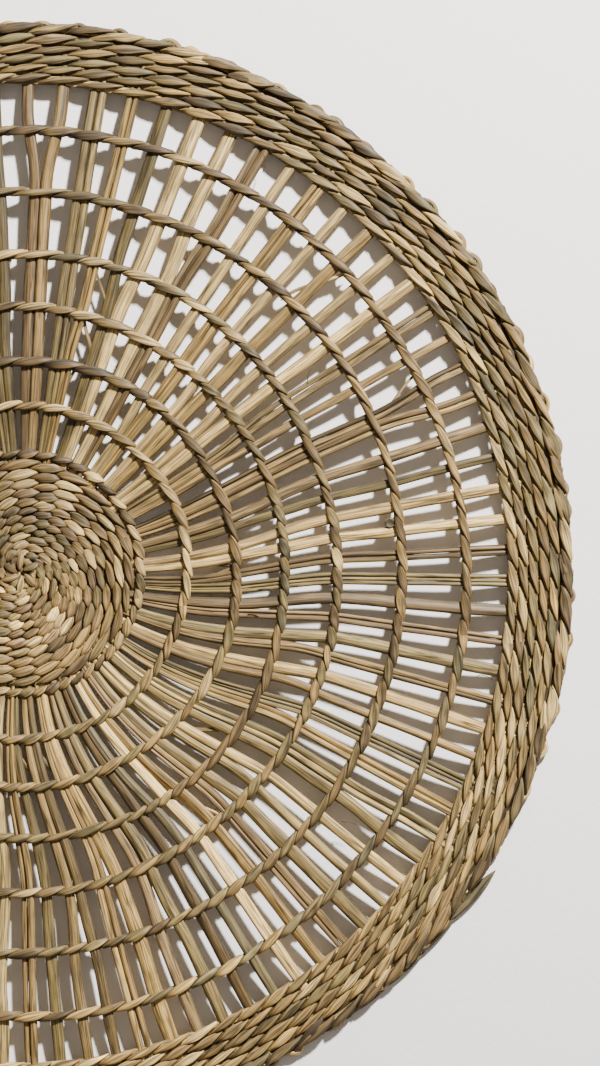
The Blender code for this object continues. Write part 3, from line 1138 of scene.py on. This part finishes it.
class PLACEMAT_OT_stage(bpy.types.Operator):
    """Sets the pale table, the soft light and the camera straight above"""

    bl_idname = "placemat.stage"
    bl_label = "Stage"

    def execute(self, context):
        look = context.scene.stage_look
        bpy.ops.mesh.primitive_plane_add(size=TABLE_SIZE, location=(0.0, 0.0, -TABLE_DROP))
        table = context.object
        table.name = "table_top"
        bpy.ops.object.transform_apply(location=True)
        table.data.materials.append(self.table_material(look))
        self.add_key_light(context, look)
        self.add_room_light(context, look)
        self.add_camera(context)
        return {"FINISHED"}

    @staticmethod
    def table_material(look):
        """Matt white painted board: a faint grain breaks up its flat colour."""
        material = bpy.data.materials.new("matt_white_board")
        material.use_nodes = True
        tree = material.node_tree
        shader = tree.nodes["Principled BSDF"]
        shader.inputs["Roughness"].default_value = 0.85
        shader.inputs["Base Color"].default_value = (*look.table_colour, 1.0)
        place = node(tree, "ShaderNodeTexCoord")
        on_object = [("Vector", place.outputs["Object"])]
        grain = node(tree, "ShaderNodeTexNoise", on_object, Scale=GRAINS, Detail=4.0)
        on_grain = [("Height", grain.outputs["Fac"])]
        bump = node(tree, "ShaderNodeBump", on_grain, Strength=0.35, Distance=GRAIN_DEPTH)
        tree.links.new(bump.outputs["Normal"], shader.inputs["Normal"])
        return material

    @staticmethod
    def add_key_light(context, look):
        """The main soft light, a small square far off, so that shadows are crisp as in the photo."""
        level = math.cos(KEY_ELEVATION)
        way = Vector((math.sin(KEY_AZIMUTH) * level, math.cos(KEY_AZIMUTH) * level, math.sin(KEY_ELEVATION)))
        bpy.ops.object.light_add(type="AREA", location=way * KEY_DISTANCE)
        light = context.object
        light.name = "key"
        light.data.energy = look.key_watts
        light.data.size = look.key_size
        light.data.color = KEY_COLOUR
        light.rotation_euler = way.to_track_quat("Z", "Y").to_euler()

    @staticmethod
    def add_room_light(context, look):
        """The even, slightly warm light from all round."""
        world = bpy.data.worlds.new("soft_room")
        context.scene.world = world
        world.use_nodes = True
        background = world.node_tree.nodes["Background"]
        background.inputs["Color"].default_value = ROOM_COLOUR
        background.inputs["Strength"].default_value = look.fill

    @staticmethod
    def add_camera(context):
        """Straight above the middle of the photo's frame, far off as for a product photograph."""
        width, height = FRAME_PIXELS
        x = (0.5 * width - MAT_CENTRE_PIXEL[0]) * PIXEL
        y = (MAT_CENTRE_PIXEL[1] - 0.5 * height) * PIXEL
        bpy.ops.object.camera_add(location=(x, y, CAMERA_HEIGHT), rotation=(0.0, 0.0, 0.0))
        camera = context.object
        camera.data.sensor_width = SENSOR
        camera.data.lens = SENSOR * CAMERA_HEIGHT / (height * PIXEL)
        camera.data.clip_start = CLIP_START
        context.scene.camera = camera


class PLACEMAT_PT_panel(bpy.types.Panel):
    bl_label = "Placemat"
    bl_idname = "PLACEMAT_PT_panel"
    bl_space_type = "VIEW_3D"
    bl_region_type = "UI"
    bl_category = "Placemat"

    def draw(self, context):
        column = self.layout.column()
        scene = context.scene
        for group in (scene.mat_sizes, scene.grass_shades, scene.stage_look):
            for name in type(group).__annotations__:
                column.prop(group, name)
        for operator in OPERATORS:
            column.operator(operator.bl_idname)


OPERATORS = (
    PLACEMAT_OT_stakes,
    PLACEMAT_OT_centre,
    PLACEMAT_OT_open_rows,
    PLACEMAT_OT_border,
    PLACEMAT_OT_rim,
    PLACEMAT_OT_loose_ends,
    PLACEMAT_OT_stage,
)
CLASSES = (MatSizes, GrassShades, StageLook, *OPERATORS, PLACEMAT_PT_panel)


def register():
    for cls in CLASSES:
        bpy.utils.register_class(cls)
    bpy.types.Scene.mat_sizes = PointerProperty(type=MatSizes)
    bpy.types.Scene.grass_shades = PointerProperty(type=GrassShades)
    bpy.types.Scene.stage_look = PointerProperty(type=StageLook)


def unregister():
    del bpy.types.Scene.stage_look
    del bpy.types.Scene.grass_shades
    del bpy.types.Scene.mat_sizes
    for cls in reversed(CLASSES):
        bpy.utils.unregister_class(cls)


def main():
    register()
    bpy.ops.object.select_all(action="DESELECT")
    bpy.ops.placemat.stakes()
    bpy.ops.placemat.centre()
    bpy.ops.placemat.open_rows()
    bpy.ops.placemat.border()
    bpy.ops.placemat.rim()
    bpy.ops.placemat.loose_ends()
    bpy.ops.placemat.stage()


if __name__ == "__main__":
    main()
